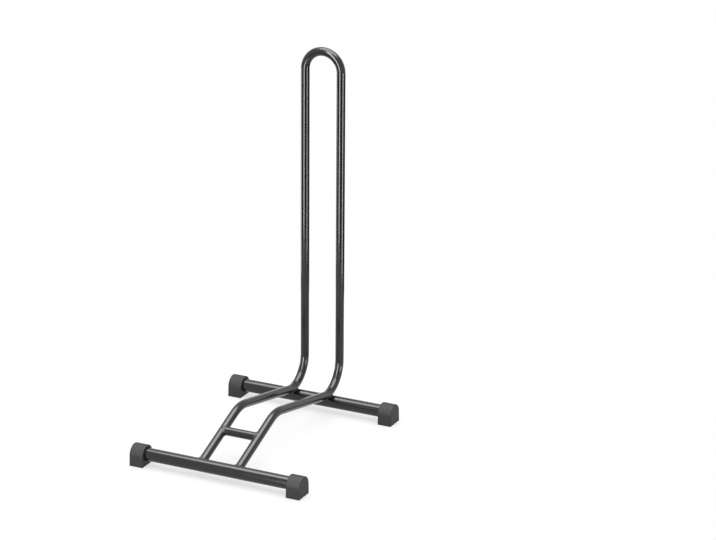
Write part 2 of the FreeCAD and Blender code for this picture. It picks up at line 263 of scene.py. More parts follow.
class ShaderTree(Tree):
    """The shader of one material."""

    def __init__(self, name: str) -> None:
        """Start an empty material.

        Args:
            name: The material's name.
        """
        self.material = bpy.data.materials.new(name)
        self.material.use_nodes = True
        self.material.node_tree.nodes.clear()
        super().__init__(self.material.node_tree)

    def noise(self, size: float, detail: float) -> Wire:
        """Soft noise from 0 to 1, on the object's own coordinates.

        Args:
            size: The size of its features, in metres.
            detail: How many finer layers it has.

        Returns:
            The noise.
        """
        place = self.add("ShaderNodeTexCoord")["Object"]
        sockets = {"Vector": place, "Scale": 1 / size, "Detail": detail}
        return self.add("ShaderNodeTexNoise", sockets)

    def steepen(self, mask: Wire, low: float, high: float) -> Wire:
        """A mask that is 0 up to low and 1 from high."""
        return self.add("ShaderNodeMapRange", {"Value": mask, "From Min": low, "From Max": high})

    def blend(self, mask: Wire, low: Colour, high: Colour) -> Wire:
        """The colour low where the mask is 0, and high where it is 1."""
        sockets = {"Factor": mask, "A": (*low, 1.0), "B": (*high, 1.0)}
        return self.add("ShaderNodeMix", sockets, data_type="RGBA")

    def bump(self, height: Wire, depth: float, onto: Wire | None) -> Wire:
        """Turn a height into a normal.

        Args:
            height: The height, from 0 to 1.
            depth: The real height of 1, in metres.
            onto: The coarser bump that this one lies on, if there is one.

        Returns:
            The bent normal.
        """
        sockets = {"Height": height, "Distance": depth}
        if onto is not None:
            sockets["Normal"] = onto
        return self.add("ShaderNodeBump", sockets)

    def surface(self, shader: Wire) -> bpy.types.Material:
        """Put a shader on the surface, which completes the material."""
        self.add("ShaderNodeOutputMaterial", {"Surface": shader})
        return self.material


def grey(level: float) -> tuple[float, float, float, float]:
    """A solid grey, as a colour socket takes it."""
    return (level, level, level, 1.0)


@dataclass(frozen=True)
class Relief:
    """One layer of fine relief: its features' size and depth in metres, and their detail."""

    size: float
    depth: float
    detail: float


@dataclass(frozen=True)
class Finish:
    """Soft clouds of colour and gloss over layers of relief, the coarsest first.

    cloud_edges are the noise levels between which a cloud fades in, and cloud_share is how
    much of the mottling the clouds make, beside the coarsest relief.
    """

    name: str
    deep: Colour
    pale: Colour
    sheen_level: float
    roughness_low: float
    roughness_spread: float
    cloud_size: float
    cloud_edges: tuple[float, float]
    cloud_share: float
    reliefs: tuple[Relief, ...]
    cloud_detail: float = 4.0

    def material(self) -> bpy.types.Material:
        """Build the shader.

        Returns:
            The material.
        """
        tree = ShaderTree(self.name)
        cloud = tree.steepen(tree.noise(self.cloud_size, self.cloud_detail), *self.cloud_edges)
        heights = [tree.noise(relief.size, relief.detail) for relief in self.reliefs]
        mottle = cloud * self.cloud_share + heights[0] * (1 - self.cloud_share)
        normal = None
        for height, relief in zip(heights, self.reliefs):
            normal = tree.bump(height, relief.depth, normal)
        shader = tree.add(
            "ShaderNodeBsdfPrincipled",
            {
                "Base Color": tree.blend(mottle, self.deep, self.pale),
                "Roughness": mottle * self.roughness_spread + self.roughness_low,
                "Specular IOR Level": self.sheen_level,
                "Normal": normal,
            },
        )
        return tree.surface(shader)


@dataclass(frozen=True)
class PowderCoat(Finish):
    """Anthracite powder coat, baked satin, with a fine orange peel."""

    name: str = "anthracite powder coat"
    deep: Colour = (0.0125, 0.0126, 0.0130)
    pale: Colour = (0.0145, 0.0146, 0.0150)
    sheen_level: float = 0.45
    roughness_low: float = 0.11
    roughness_spread: float = 0.02
    cloud_size: float = 45.0 * MILLIMETRE
    cloud_edges: tuple[float, float] = (0.32, 0.68)
    cloud_share: float = 0.7
    reliefs: tuple[Relief, ...] = (
        Relief(1.6 * MILLIMETRE, 0.0012 * MILLIMETRE, 1.5),
        Relief(0.35 * MILLIMETRE, 0.0001 * MILLIMETRE, 1.0),
    )


@dataclass(frozen=True)
class MouldedRubber(Finish):
    """Matt moulded rubber: a fine spark-eroded grain and a faint grey bloom."""

    name: str = "moulded rubber"
    deep: Colour = (0.023, 0.023, 0.024)
    pale: Colour = (0.036, 0.036, 0.037)
    sheen_level: float = 0.3
    roughness_low: float = 0.52
    roughness_spread: float = 0.16
    cloud_size: float = 12.0 * MILLIMETRE
    cloud_edges: tuple[float, float] = (0.3, 0.7)
    cloud_share: float = 0.6
    reliefs: tuple[Relief, ...] = (Relief(0.6 * MILLIMETRE, 0.03 * MILLIMETRE, 2.0),)


@dataclass(frozen=True)
class TreeSizes:
    """Sizes that are the named inputs of a geometry tree."""

    @classmethod
    def sockets(cls) -> dict[str, str]:
        """The kind of socket of each input."""
        return {label(size.name): SOCKET_KINDS[size.type] for size in fields(cls)}

    def values(self) -> dict[str, Any]:
        """The value of each input."""
        return {label(size.name): getattr(self, size.name) for size in fields(self)}


def label(name: str) -> str:
    """A field's name as it stands on a tree's input."""
    return name.replace("_", " ").title()


class PieceTree(Tree):
    """A geometry tree that turns a path into a piece.

    Its inputs are the path, the piece's sizes and its finish. kinds holds the kind of every
    attribute on the points that only the tree needs.
    """

    def __init__(self, name: str, sizes: type[TreeSizes], carried: Mapping[str, str]) -> None:
        """Start a tree with its inputs.

        Args:
            name: The tree's name.
            sizes: The class of the sizes.
            carried: The kind of each attribute that the path's points carry.
        """
        super().__init__(bpy.data.node_groups.new(name, "GeometryNodeTree"))
        self.kinds = dict(carried)
        sockets = {"Path": "NodeSocketGeometry", **sizes.sockets(), "Finish": "NodeSocketMaterial"}
        for word, kind in sockets.items():
            self.tree.interface.new_socket(word, in_out="INPUT", socket_type=kind)
        self.tree.interface.new_socket(
            "Geometry", in_out="OUTPUT", socket_type="NodeSocketGeometry"
        )
        self.given = self.add("NodeGroupInput")

    def read(self, name: str) -> Wire:
        """An attribute of the points."""
        sockets = {"Name": name}
        return self.add("GeometryNodeInputNamedAttribute", sockets, data_type=self.kinds[name])

    def store(self, geometry: Wire, name: str, value: Wire) -> Wire:
        """Keep a value on the points under a name.

        Args:
            geometry: What to store it on.
            name: The attribute's name.
            value: The value.

        Returns:
            The geometry.
        """
        self.kinds[name] = "FLOAT_VECTOR" if is_vector(value) else "FLOAT"
        return self.add(
            "GeometryNodeStoreNamedAttribute",
            {"Geometry": geometry, "Name": name, "Value": value},
            data_type=self.kinds[name],
            domain="POINT",
        )

    def merge(self, geometry: Wire, distance: float) -> Wire:
        """Merge the points that lie closer together than a distance."""
        sockets = {"Geometry": geometry, "Distance": distance}
        return self.add("GeometryNodeMergeByDistance", sockets)

    def close(self, geometry: Wire) -> None:
        """End the tree: drop the tree's own attributes, realize and set the finish.

        Args:
            geometry: The finished geometry.
        """
        for name in self.kinds:
            sockets = {"Geometry": geometry, "Name": name}
            geometry = self.add("GeometryNodeRemoveAttribute", sockets)
        real = self.add("GeometryNodeRealizeInstances", {"Geometry": geometry})
        sockets = {"Geometry": real, "Material": self.given["Finish"]}
        dressed = self.add("GeometryNodeSetMaterial", sockets)
        self.add("NodeGroupOutput", {"Geometry": dressed})

    def grow(self, piece: bpy.types.Object, sizes: TreeSizes, finish: bpy.types.Material) -> None:
        """Turn a path object into the finished plain mesh.

        Args:
            piece: The object whose mesh is the path.
            sizes: The piece's sizes.
            finish: The piece's finish.
        """
        modifier = piece.modifiers.new(self.tree.name, "NODES")
        modifier.node_group = self.tree
        values = {**sizes.values(), "Finish": finish}
        for item in self.tree.interface.items_tree:
            if item.in_out == "INPUT" and item.name in values:
                modifier[item.identifier] = values[item.name]
        make_plain(piece)
        turn_outwards(piece.data)


def make_plain(piece: bpy.types.Object) -> None:
    """Give a piece the plain mesh that its modifiers make of it.

    Args:
        piece: The piece, which loses its modifiers.
    """
    piece.update_tag()
    evaluated = piece.evaluated_get(bpy.context.evaluated_depsgraph_get())
    mesh = bpy.data.meshes.new_from_object(evaluated)
    piece.modifiers.clear()
    piece.data = mesh


def turn_outwards(mesh: bpy.types.Mesh) -> None:
    """Flip a closed mesh whose faces all point inwards.

    Args:
        mesh: The mesh.
    """
    shape = bmesh.new()
    shape.from_mesh(mesh)
    if shape.calc_volume(signed=True) < 0:
        bmesh.ops.reverse_faces(shape, faces=shape.faces)
        shape.to_mesh(mesh)
    shape.free()


def path_object(
    name: str, points: np.ndarray, attributes: Mapping[str, np.ndarray], closed: bool = False
) -> bpy.types.Object:
    """An object whose mesh is a line through points, with attributes on them.

    Args:
        name: The object's name.
        points: One row for each point.
        attributes: Numbers or vectors for each point.
        closed: Whether the line runs back to its first point.

    Returns:
        The object, in the scene.
    """
    mesh = bpy.data.meshes.new(name)
    last = len(points) if closed else len(points) - 1
    edges = [(first, (first + 1) % len(points)) for first in range(last)]
    mesh.from_pydata(points.tolist(), edges, [])
    for word, values in attributes.items():
        kind, target = ("FLOAT", "value") if values.ndim == 1 else ("FLOAT_VECTOR", "vector")
        layer = mesh.attributes.new(word, kind, "POINT")
        layer.data.foreach_set(target, values.astype(np.float32).ravel())
    return in_scene(bpy.data.objects.new(name, mesh))


def in_scene(item: bpy.types.Object) -> bpy.types.Object:
    """Link an object to the scene's collection."""
    bpy.context.scene.collection.objects.link(item)
    return item


def hand_over(piece: bpy.types.Object, node: str) -> None:
    """Set a finished piece in place of its node and report it.

    Args:
        piece: The finished piece.
        node: The node that it stands for.
    """
    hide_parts(node)
    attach(piece, BODY)
    log.info("%s: %d faces", piece.name, len(piece.data.polygons))


def centre_of(node: str) -> Vector:
    """The middle of a node's box."""
    low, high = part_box(node)
    return (low + high) / 2


@dataclass(frozen=True)
class TubeStock(TreeSizes):
    """Round steel tube, as it is bent for one piece and coped to the tubes that it meets."""

    tube_radius: float
    wall: float = 1.5 * MILLIMETRE
    sides: int = 72
    bend_steps: int = 28
    cope_radius: float = 0.0
    cope_axis: Triple = (1.0, 0.0, 0.0)


def make_tube_tree() -> PieceTree:
    """The tree that bends tube stock along a cornered path and copes its two ends.

    Returns:
        The tree. Its path's points carry bend_radius.
    """
    tree = PieceTree("bent tube stock", TubeStock, {"bend_radius": "FLOAT"})
    given = tree.given
    cornered = tree.add("GeometryNodeMeshToCurve", {"Mesh": given["Path"]})
    radius = tree.read("bend_radius")
    bend = {"Curve": cornered, "Count": given["Bend Steps"], "Radius": radius}
    bent = tree.add("GeometryNodeFilletCurve", bend, mode="POLY")
    # Bends that meet share a point, which is kept once
    thread = tree.merge(tree.add("GeometryNodeCurveToMesh", {"Curve": bent}), LINE_MERGE)
    line = tree.add("GeometryNodeMeshToCurve", {"Mesh": thread})

    half = tree.add("GeometryNodeSplineParameter") * 2 - 1
    inwards = tree.add("GeometryNodeInputTangent") * (half.of("SIGN") * -1)
    is_end = tree.add("GeometryNodeCurveEndpointSelection", {"Start Size": 1, "End Size": 1})
    line = tree.store(line, "inwards", inwards)
    line = tree.store(line, "is_end", is_end)
    line = tree.store(line, "heart", tree.add("GeometryNodeInputPosition"))
    round_section = {"Resolution": given["Sides"], "Radius": given["Tube Radius"]}
    ring = tree.add("GeometryNodeCurvePrimitiveCircle", round_section)
    skin = tree.add("GeometryNodeCurveToMesh", {"Curve": line, "Profile Curve": ring})

    inwards = tree.read("inwards")
    spoke = tree.add("GeometryNodeInputPosition") - tree.read("heart")
    aside = spoke.dot(inwards.cross(given["Cope Axis"]))
    cope = given["Cope Radius"]
    reach = (cope * cope - aside * aside).at_least(0.0).of("SQRT")
    offset = inwards * (reach * tree.read("is_end"))
    coped = tree.add("GeometryNodeSetPosition", {"Geometry": skin, "Offset": offset})
    inner = {"Mesh": coped, "Offset Scale": given["Wall"] * -1, "Individual": False}
    bore = tree.add("GeometryNodeExtrudeMesh", inner, mode="FACES")
    bore = tree.add("GeometryNodeFlipFaces", {"Mesh": bore})
    both = tree.add("GeometryNodeJoinGeometry", {"Geometry": [bore, coped]})
    closed = {"Geometry": tree.merge(both, RIM_MERGE), "Shade Smooth": True}
    smooth = tree.add("GeometryNodeSetShadeSmooth", closed)
    # The cut rims stay crisp, so that they don't tilt the shading of the long walls
    turned = tree.add("GeometryNodeInputMeshEdgeAngle").over(CRISP_ANGLE)
    rims = {"Geometry": smooth, "Selection": turned, "Shade Smooth": False}
    tree.close(tree.add("GeometryNodeSetShadeSmooth", rims, domain="EDGE"))
    return tree


@dataclass
class Frame:
    """The rack's welded tubes. The bends are given on the hoop's centre line.

    The knee is the corner at which a rail's two straight runs would meet, measured from the
    front cross tube's axis.
    """

    paint: bpy.types.Material
    tube_tree: PieceTree
    knee_run: float = 158.5 * MILLIMETRE
    knee_rise: float = 63.0 * MILLIMETRE
    knee_radius: float = 80.0 * MILLIMETRE
    lower_bend_radius: float = 57.0 * MILLIMETRE
    cross_sides: int = 96
    hoop_radius: float = field(init=False)
    cross_radius: float = field(init=False)
    half_gauge: float = field(init=False)
    front_axis: Vector = field(init=False)
    rear_axis: Vector = field(init=False)

    def __post_init__(self) -> None:
        """Read the tubes' places from the frame."""
        rung_low, rung_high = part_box("rail_rung")
        cross_low, cross_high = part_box("front_cross_tube")
        self.hoop_radius = (rung_high.z - rung_low.z) / 2
        self.cross_radius = (cross_high.z - cross_low.z) / 2
        self.half_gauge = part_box("hoop_tube")[1].x - self.hoop_radius
        self.front_axis = centre_of("front_cross_tube")
        self.rear_axis = centre_of("rear_cross_tube")

    @property
    def climb(self) -> float:
        """The angle at which the rails climb from the front cross tube."""
        return math.atan2(self.knee_rise, self.knee_run)

    @property
    def rail_direction(self) -> np.ndarray:
        """The direction in which the rails leave the front cross tube."""
        return np.array([0.0, math.cos(self.climb), math.sin(self.climb)])

    @property
    def upright_y(self) -> float:
        """How far back the uprights' axes lie."""
        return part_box("hoop_tube")[1].y - self.hoop_radius

    @property
    def bend_centre(self) -> Vector:
        """The centre of the lower bends, which stand on the rear cross tube.

        Returns:
            The centre, midway between the two bends.
        """
        back = self.upright_y - self.lower_bend_radius
        seat = self.lower_bend_radius + self.hoop_radius + self.cross_radius
        rise = math.sqrt(seat**2 - (back - self.rear_axis.y) ** 2)
        return Vector((0, back, self.rear_axis.z + rise))

    def shift(self, side: Side) -> np.ndarray:
        """The step from the rack's middle to the rail and upright of one side."""
        return side.value * self.half_gauge * SIDEWAYS

    def side_corners(self) -> list[tuple[float, float]]:
        """The corners of one rail and upright, as Y and Z.

        Returns:
            The cut end, the knee, the lower bend's corner and the top corner.
        """
        start = (self.front_axis.y, self.front_axis.z)
        knee = (start[0] + self.knee_run, start[1] + self.knee_rise)
        to_centre = (self.bend_centre.y - knee[0], self.bend_centre.z - knee[1])
        slant = math.asin(self.lower_bend_radius / math.hypot(*to_centre))
        fall = slant - math.atan2(to_centre[1], to_centre[0])
        corner = (self.upright_y, knee[1] - (self.upright_y - knee[0]) * math.tan(fall))
        top = (self.upright_y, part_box("hoop_tube")[1].z - self.hoop_radius)
        return [start, knee, corner, top]

    def make_hoop(self) -> None:
        """Make the one bent tube: rail, upright, half-round top, upright and rail."""
        side = self.side_corners()
        right = [(self.half_gauge, y, z) for y, z in side]
        left = [(-self.half_gauge, y, z) for y, z in reversed(side)]
        radii = [0.0, self.knee_radius, self.lower_bend_radius, self.half_gauge]
        stock = TubeStock(self.hoop_radius, cope_radius=self.cross_radius)
        self.lay_tube("bent_hoop_tube", "hoop_tube", right + left, radii + radii[::-1], stock)

    def make_cross_tube(self, end: End) -> None:
        """Make the straight tube across one end of the rack.

        Args:
            end: The end.
        """
        node = f"{end.value}_cross_tube"
        low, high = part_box(node)
        stock = TubeStock(self.cross_radius, sides=self.cross_sides)
        self.lay_straight(node, (low.x, high.x), stock)

    def make_rung(self) -> None:
        """Make the short tube between the rails, coped to both."""
        along = tuple(self.rail_direction)
        stock = TubeStock(self.hoop_radius, cope_radius=self.hoop_radius, cope_axis=along)
        self.lay_straight("rail_rung", (-self.half_gauge, self.half_gauge), stock)

    def lay_straight(self, node: str, ends: tuple[float, float], stock: TubeStock) -> None:
        """Make a straight tube along X.

        Args:
            node: The node that it stands for.
            ends: Where its axis starts and ends, as X.
            stock: Its tube.
        """
        middle = centre_of(node)
        corners = [(x, middle.y, middle.z) for x in ends]
        self.lay_tube(f"painted_{node}", node, corners, [0.0, 0.0], stock)

    def lay_tube(
        self, name: str, node: str, corners: list[Triple], radii: list[float], stock: TubeStock
    ) -> None:
        """Make one tube and set it in place of its node.

        Args:
            name: The piece's name.
            node: The node that it stands for.
            corners: The corners of its centre line.
            radii: The bend's radius at each corner, 0 at the ends.
            stock: Its tube.
        """
        piece = path_object(name, np.array(corners), {"bend_radius": np.array(radii)})
        self.tube_tree.grow(piece, stock, self.paint)
        hand_over(piece, node)


@dataclass(frozen=True)
class TubeSkin:
    """The outside of a tube, straight along an axis or bent in a ring about it."""

    origin: np.ndarray
    axis: np.ndarray
    radius: float
    bend_radius: float = 0.0

    def hearts(self, points: np.ndarray) -> np.ndarray:
        """The points of the tube's centre line that lie nearest to some points.

        Args:
            points: Some points.

        Returns:
            One point for each of them.
        """
        offset = points - self.origin
        along = (offset @ self.axis)[:, None] * self.axis
        if not self.bend_radius:
            return self.origin + along
        return self.origin + self.bend_radius * units(offset - along)

    def normals(self, points: np.ndarray) -> np.ndarray:
        """The skin's outward directions next to some points."""
        return units(points - self.hearts(points))

    def snap(self, points: np.ndarray) -> np.ndarray:
        """The points of the skin nearest to some points."""
        return self.hearts(points) + self.radius * self.normals(points)


def units(vectors: np.ndarray) -> np.ndarray:
    """The vectors at a length of one."""
    return vectors / np.linalg.norm(vectors, axis=-1, keepdims=True)


def headings(loop: np.ndarray) -> np.ndarray:
    """The direction in which a closed line runs at each of its points."""
    return units(np.roll(loop, -1, axis=0) - np.roll(loop, 1, axis=0))


def turns(count: int) -> np.ndarray:
    """Angles evenly spaced round a full turn."""
    return np.linspace(0.0, math.tau, count, endpoint=False)


@dataclass(frozen=True)
class Ripples(TreeSizes):
    """The ripples of a bead's metal, and how unsteadily it was laid.

    ripple_level is the share of a ripple's depth that lies under the bead's even surface,
    ripple_lag is how many ripples its middle trails behind its toes, and wander is the share
    by which the bead's width varies over a wander_size.
    """

    seed: float
    ripple_pitch: float = 1.7 * MILLIMETRE
    ripple_depth: float = 0.22 * MILLIMETRE
    ripple_level: float = 0.6
    ripple_lag: float = 0.55
    steps_per_ripple: int = 6
    sides: int = 24
    wander: float = 0.22
    wander_size: float = 4.0 * MILLIMETRE


def make_weld_tree() -> PieceTree:
    """The tree that lays a rippled bead round a seam.

    Returns:
        The tree. Its path's points carry across and lift, the bead's half width and crown.
    """
    carried = {"across": "FLOAT_VECTOR", "lift": "FLOAT_VECTOR"}
    tree = PieceTree("rippled weld bead", Ripples, carried)
    given = tree.given
    seam = tree.add("GeometryNodeMeshToCurve", {"Mesh": given["Path"]})
    length = tree.add("GeometryNodeCurveLength", {"Curve": seam})
    ripples = (length / given["Ripple Pitch"]).of("ROUND")
    steps = {"Curve": seam, "Count": ripples * given["Steps Per Ripple"]}
    line = tree.add("GeometryNodeResampleCurve", steps, mode="COUNT")
    travelled = tree.add("GeometryNodeSplineParameter") * ripples
    line = tree.store(line, "heart", tree.add("GeometryNodeInputPosition"))
    line = tree.store(line, "travelled", travelled)
    ring = tree.add("GeometryNodeCurvePrimitiveCircle", {"Resolution": given["Sides"]})
    ring = tree.store(ring, "turned", tree.add("GeometryNodeSplineParameter") * math.tau)
    skin = tree.add("GeometryNodeCurveToMesh", {"Curve": line, "Profile Curve": ring})

    heart = tree.read("heart")
    across = tree.read("across")
    lift = tree.read("lift")
    turned = tree.read("turned")
    aside = turned.of("COSINE")
    upwards = turned.of("SINE")
    scale = 1 / given["Wander Size"]
    spots = {"Vector": heart, "W": given["Seed"], "Scale": scale, "Detail": 1.0}
    unsteady = tree.add("ShaderNodeTexNoise", spots, noise_dimensions="4D")
    width = (unsteady - 0.5) * given["Wander"] + 1
    # The pool's tail freezes round, so the middle of a ripple trails behind its toes
    phase = tree.read("travelled") - aside * aside * given["Ripple Lag"]
    crest = (phase * math.pi).of("SINE").of("ABSOLUTE") - given["Ripple Level"]
    raised = crest * given["Ripple Depth"] * upwards.at_least(0.0)
    spot = heart + across * (aside * width) + lift * (upwards * width) + lift.unit() * raised
    laid = tree.add("GeometryNodeSetPosition", {"Geometry": skin, "Position": spot})
    smooth = {"Geometry": laid, "Shade Smooth": True}
    tree.close(tree.add("GeometryNodeSetShadeSmooth", smooth))
    return tree


@dataclass(frozen=True)
class WeldBead(ABC):
    """One bead, laid by hand round the joint of two tubes."""

    bulge: float
    overlap: float = 1.12
    seam_points: int = 96

    @abstractmethod
    def toes(self, base: TubeSkin, branch: TubeSkin) -> list[np.ndarray]:
        """The closed lines on which the bead ends on each of the two tubes."""

    def path(self, name: str, base: TubeSkin, branch: TubeSkin) -> bpy.types.Object:
        """The bead's middle line, with its half width and crown at each point.

        Args:
            name: The piece's name.
            base: The base tube's outside.
            branch: The outside of the tube that stands on it.

        Returns:
            The line, for the tree that lays beads.
        """
        on_base, on_branch = self.toes(base, branch)
        heart = (on_base + on_branch) / 2
        across = (on_base - on_branch) / 2 * self.overlap
        lift = units(np.cross(headings(heart), across))
        lift *= np.sign(np.sum(lift * (base.normals(heart) + branch.normals(heart))))
        return path_object(name, heart, {"across": across, "lift": lift * self.bulge}, True)


@dataclass(frozen=True)
class CornerBead(WeldBead):
    """A bead round a tube's coped end. The branch's origin lies on both tubes' axes.

    Its toes lie one leg away from the seam, which keeps crown_rounding away from the base
    tube's axis over the crown.
    """

    bulge: float = 0.6 * MILLIMETRE
    leg: float = 2.2 * MILLIMETRE
    crown_rounding: float = 0.0

    def toes(self, base: TubeSkin, branch: TubeSkin) -> list[np.ndarray]:
        """Where the bead ends, on both sides of the seam of two tubes that cross squarely.

        Args:
            base: The base tube's outside.
            branch: The outside of the tube that stands on it.

        Returns:
            A closed line on each tube.
        """
        angle = turns(self.seam_points)[:, None]
        across = branch.radius * np.cos(angle)
        rise = branch.radius * np.sin(angle)
        kept_off = self.crown_rounding * np.sin(angle) ** 2
        out = np.sqrt(np.maximum(base.radius**2 - rise**2, 0.0) + kept_off**2)
        third = np.cross(base.axis, branch.axis)
        seam = branch.origin + base.axis * across + third * rise + branch.axis * out
        lines = []
        for skin, other in ((base, branch), (branch, base)):
            outwards = np.cross(headings(seam), skin.normals(seam))
            outwards *= np.sign(np.sum(outwards * other.normals(seam)))
            lines.append(skin.snap(seam + self.leg * outwards))
        return lines


@dataclass(frozen=True)
class SeatBead(WeldBead):
    """A bead round the spot where a bend stands on a straight tube.

    It reaches to where the two tubes are a gap apart, and its toes spread further.
    """

    bulge: float = 0.9 * MILLIMETRE
    gap: float = 2.0 * MILLIMETRE
    spread: float = 0.5 * MILLIMETRE

    def toes(self, base: TubeSkin, branch: TubeSkin) -> list[np.ndarray]:
        """Where the bead ends, in an oval round the spot where the tubes touch.

        Args:
            base: The straight tube's outside.
            branch: The outside of the bend, whose ring lies across the straight tube.

        Returns:
            A closed line on each tube.
        """
        up = units(branch.origin - base.origin)
        along = np.cross(up, base.axis)
        angle = turns(self.seam_points)[:, None]
        fall = 1 / base.radius
        lift = 1 / (branch.bend_radius + branch.radius)
        x = math.sqrt(2 * self.gap * branch.radius) * np.cos(angle)
        y = math.sqrt(2 * self.gap / (fall + lift)) * np.sin(angle)
        # Near the spot both skins are parabolas, and the seam lies midway between them
        height = (x**2 / branch.radius + y**2 * (lift - fall)) / 4
        outwards = base.axis * x + along * y
        edge = base.origin + up * (base.radius + height) + outwards
        edge += units(outwards) * self.spread
        return [base.snap(edge), branch.snap(edge)]


@dataclass
class Welds:
    """The six beads that hold the frame together."""

    rack: Frame
    tree: PieceTree
    front_bead: CornerBead = CornerBead()
    rung_bead: CornerBead = CornerBead(
        bulge=0.5 * MILLIMETRE, leg=1.7 * MILLIMETRE, crown_rounding=2.6 * MILLIMETRE
    )
    rear_bead: SeatBead = SeatBead()

    def make_front(self, side: Side) -> None:
        """Lay the bead round a rail's coped end, on the front cross tube.

        Args:
            side: The side of the rack.
        """
        origin = np.array(self.rack.front_axis) + self.rack.shift(side)
        cross = TubeSkin(origin, SIDEWAYS, self.rack.cross_radius)
        rail = TubeSkin(origin, self.rack.rail_direction, self.rack.hoop_radius)
        self.lay(Joint.FRONT, side, self.front_bead, cross, rail)

    def make_rung(self, side: Side) -> None:
        """Lay the bead round one end of the rung, on a rail.

        Args:
            side: The side of the rack.
        """
        origin = np.array(centre_of("rail_rung")) + self.rack.shift(side)
        rail = TubeSkin(origin, self.rack.rail_direction, self.rack.hoop_radius)
        rung = TubeSkin(origin, -side.value * SIDEWAYS, self.rack.hoop_radius)
        self.lay(Joint.RUNG, side, self.rung_bead, rail, rung)

    def make_rear(self, side: Side) -> None:
        """Lay the bead on which a lower bend stands, on the rear cross tube.

        Args:
            side: The side of the rack.
        """
        rack = self.rack
        shift = rack.shift(side)
        cross = TubeSkin(np.array(rack.rear_axis) + shift, SIDEWAYS, rack.cross_radius)
        centre = np.array(rack.bend_centre) + shift
        bend = TubeSkin(centre, SIDEWAYS, rack.hoop_radius, rack.lower_bend_radius)
        self.lay(Joint.REAR, side, self.rear_bead, cross, bend)

    def lay(
        self, joint: Joint, side: Side, bead: WeldBead, base: TubeSkin, branch: TubeSkin
    ) -> None:
        """Lay one bead and set it in place of its node.

        Args:
            joint: The joint that it is on.
            side: The side of the rack.
            bead: The bead.
            base: The base tube's outside.
            branch: The outside of the tube that stands on it.
        """
        node = f"{joint.word}_{side.word}_weld"
        piece = bead.path(f"rippled_{node}", base, branch)
        self.tree.grow(piece, Ripples(joint.seed + side.value / 2), self.rack.paint)
        hand_over(piece, node)


def rounded_outline(corners: Sequence[Triple], steps: int) -> np.ndarray:
    """A closed outline with its corners rounded.

    Args:
        corners: The two coordinates of each corner and its radius, 0 for a plain point.
        steps: How many spans a rounded corner has.

    Returns:
        The outline's points.
    """
    points = []
    spots = np.array([corner[:2] for corner in corners])
    for number, (_, _, radius) in enumerate(corners):
        corner = spots[number]
        if radius == 0:
            points.append(corner)
            continue
        back = units(spots[number - 1] - corner)
        ahead = units(spots[(number + 1) % len(spots)] - corner)
        half = math.acos(back @ ahead) / 2
        centre = corner + units(back + ahead) * radius / math.sin(half)
        first = corner + back * radius / math.tan(half) - centre
        last = corner + ahead * radius / math.tan(half) - centre
        sweep = math.atan2(first[0] * last[1] - first[1] * last[0], first @ last)
        for angle in np.linspace(0, sweep, steps + 1):
            cos, sin = math.cos(angle), math.sin(angle)
            points.append(
                centre + [first[0] * cos - first[1] * sin, first[0] * sin + first[1] * cos]
            )
    return np.array(points)


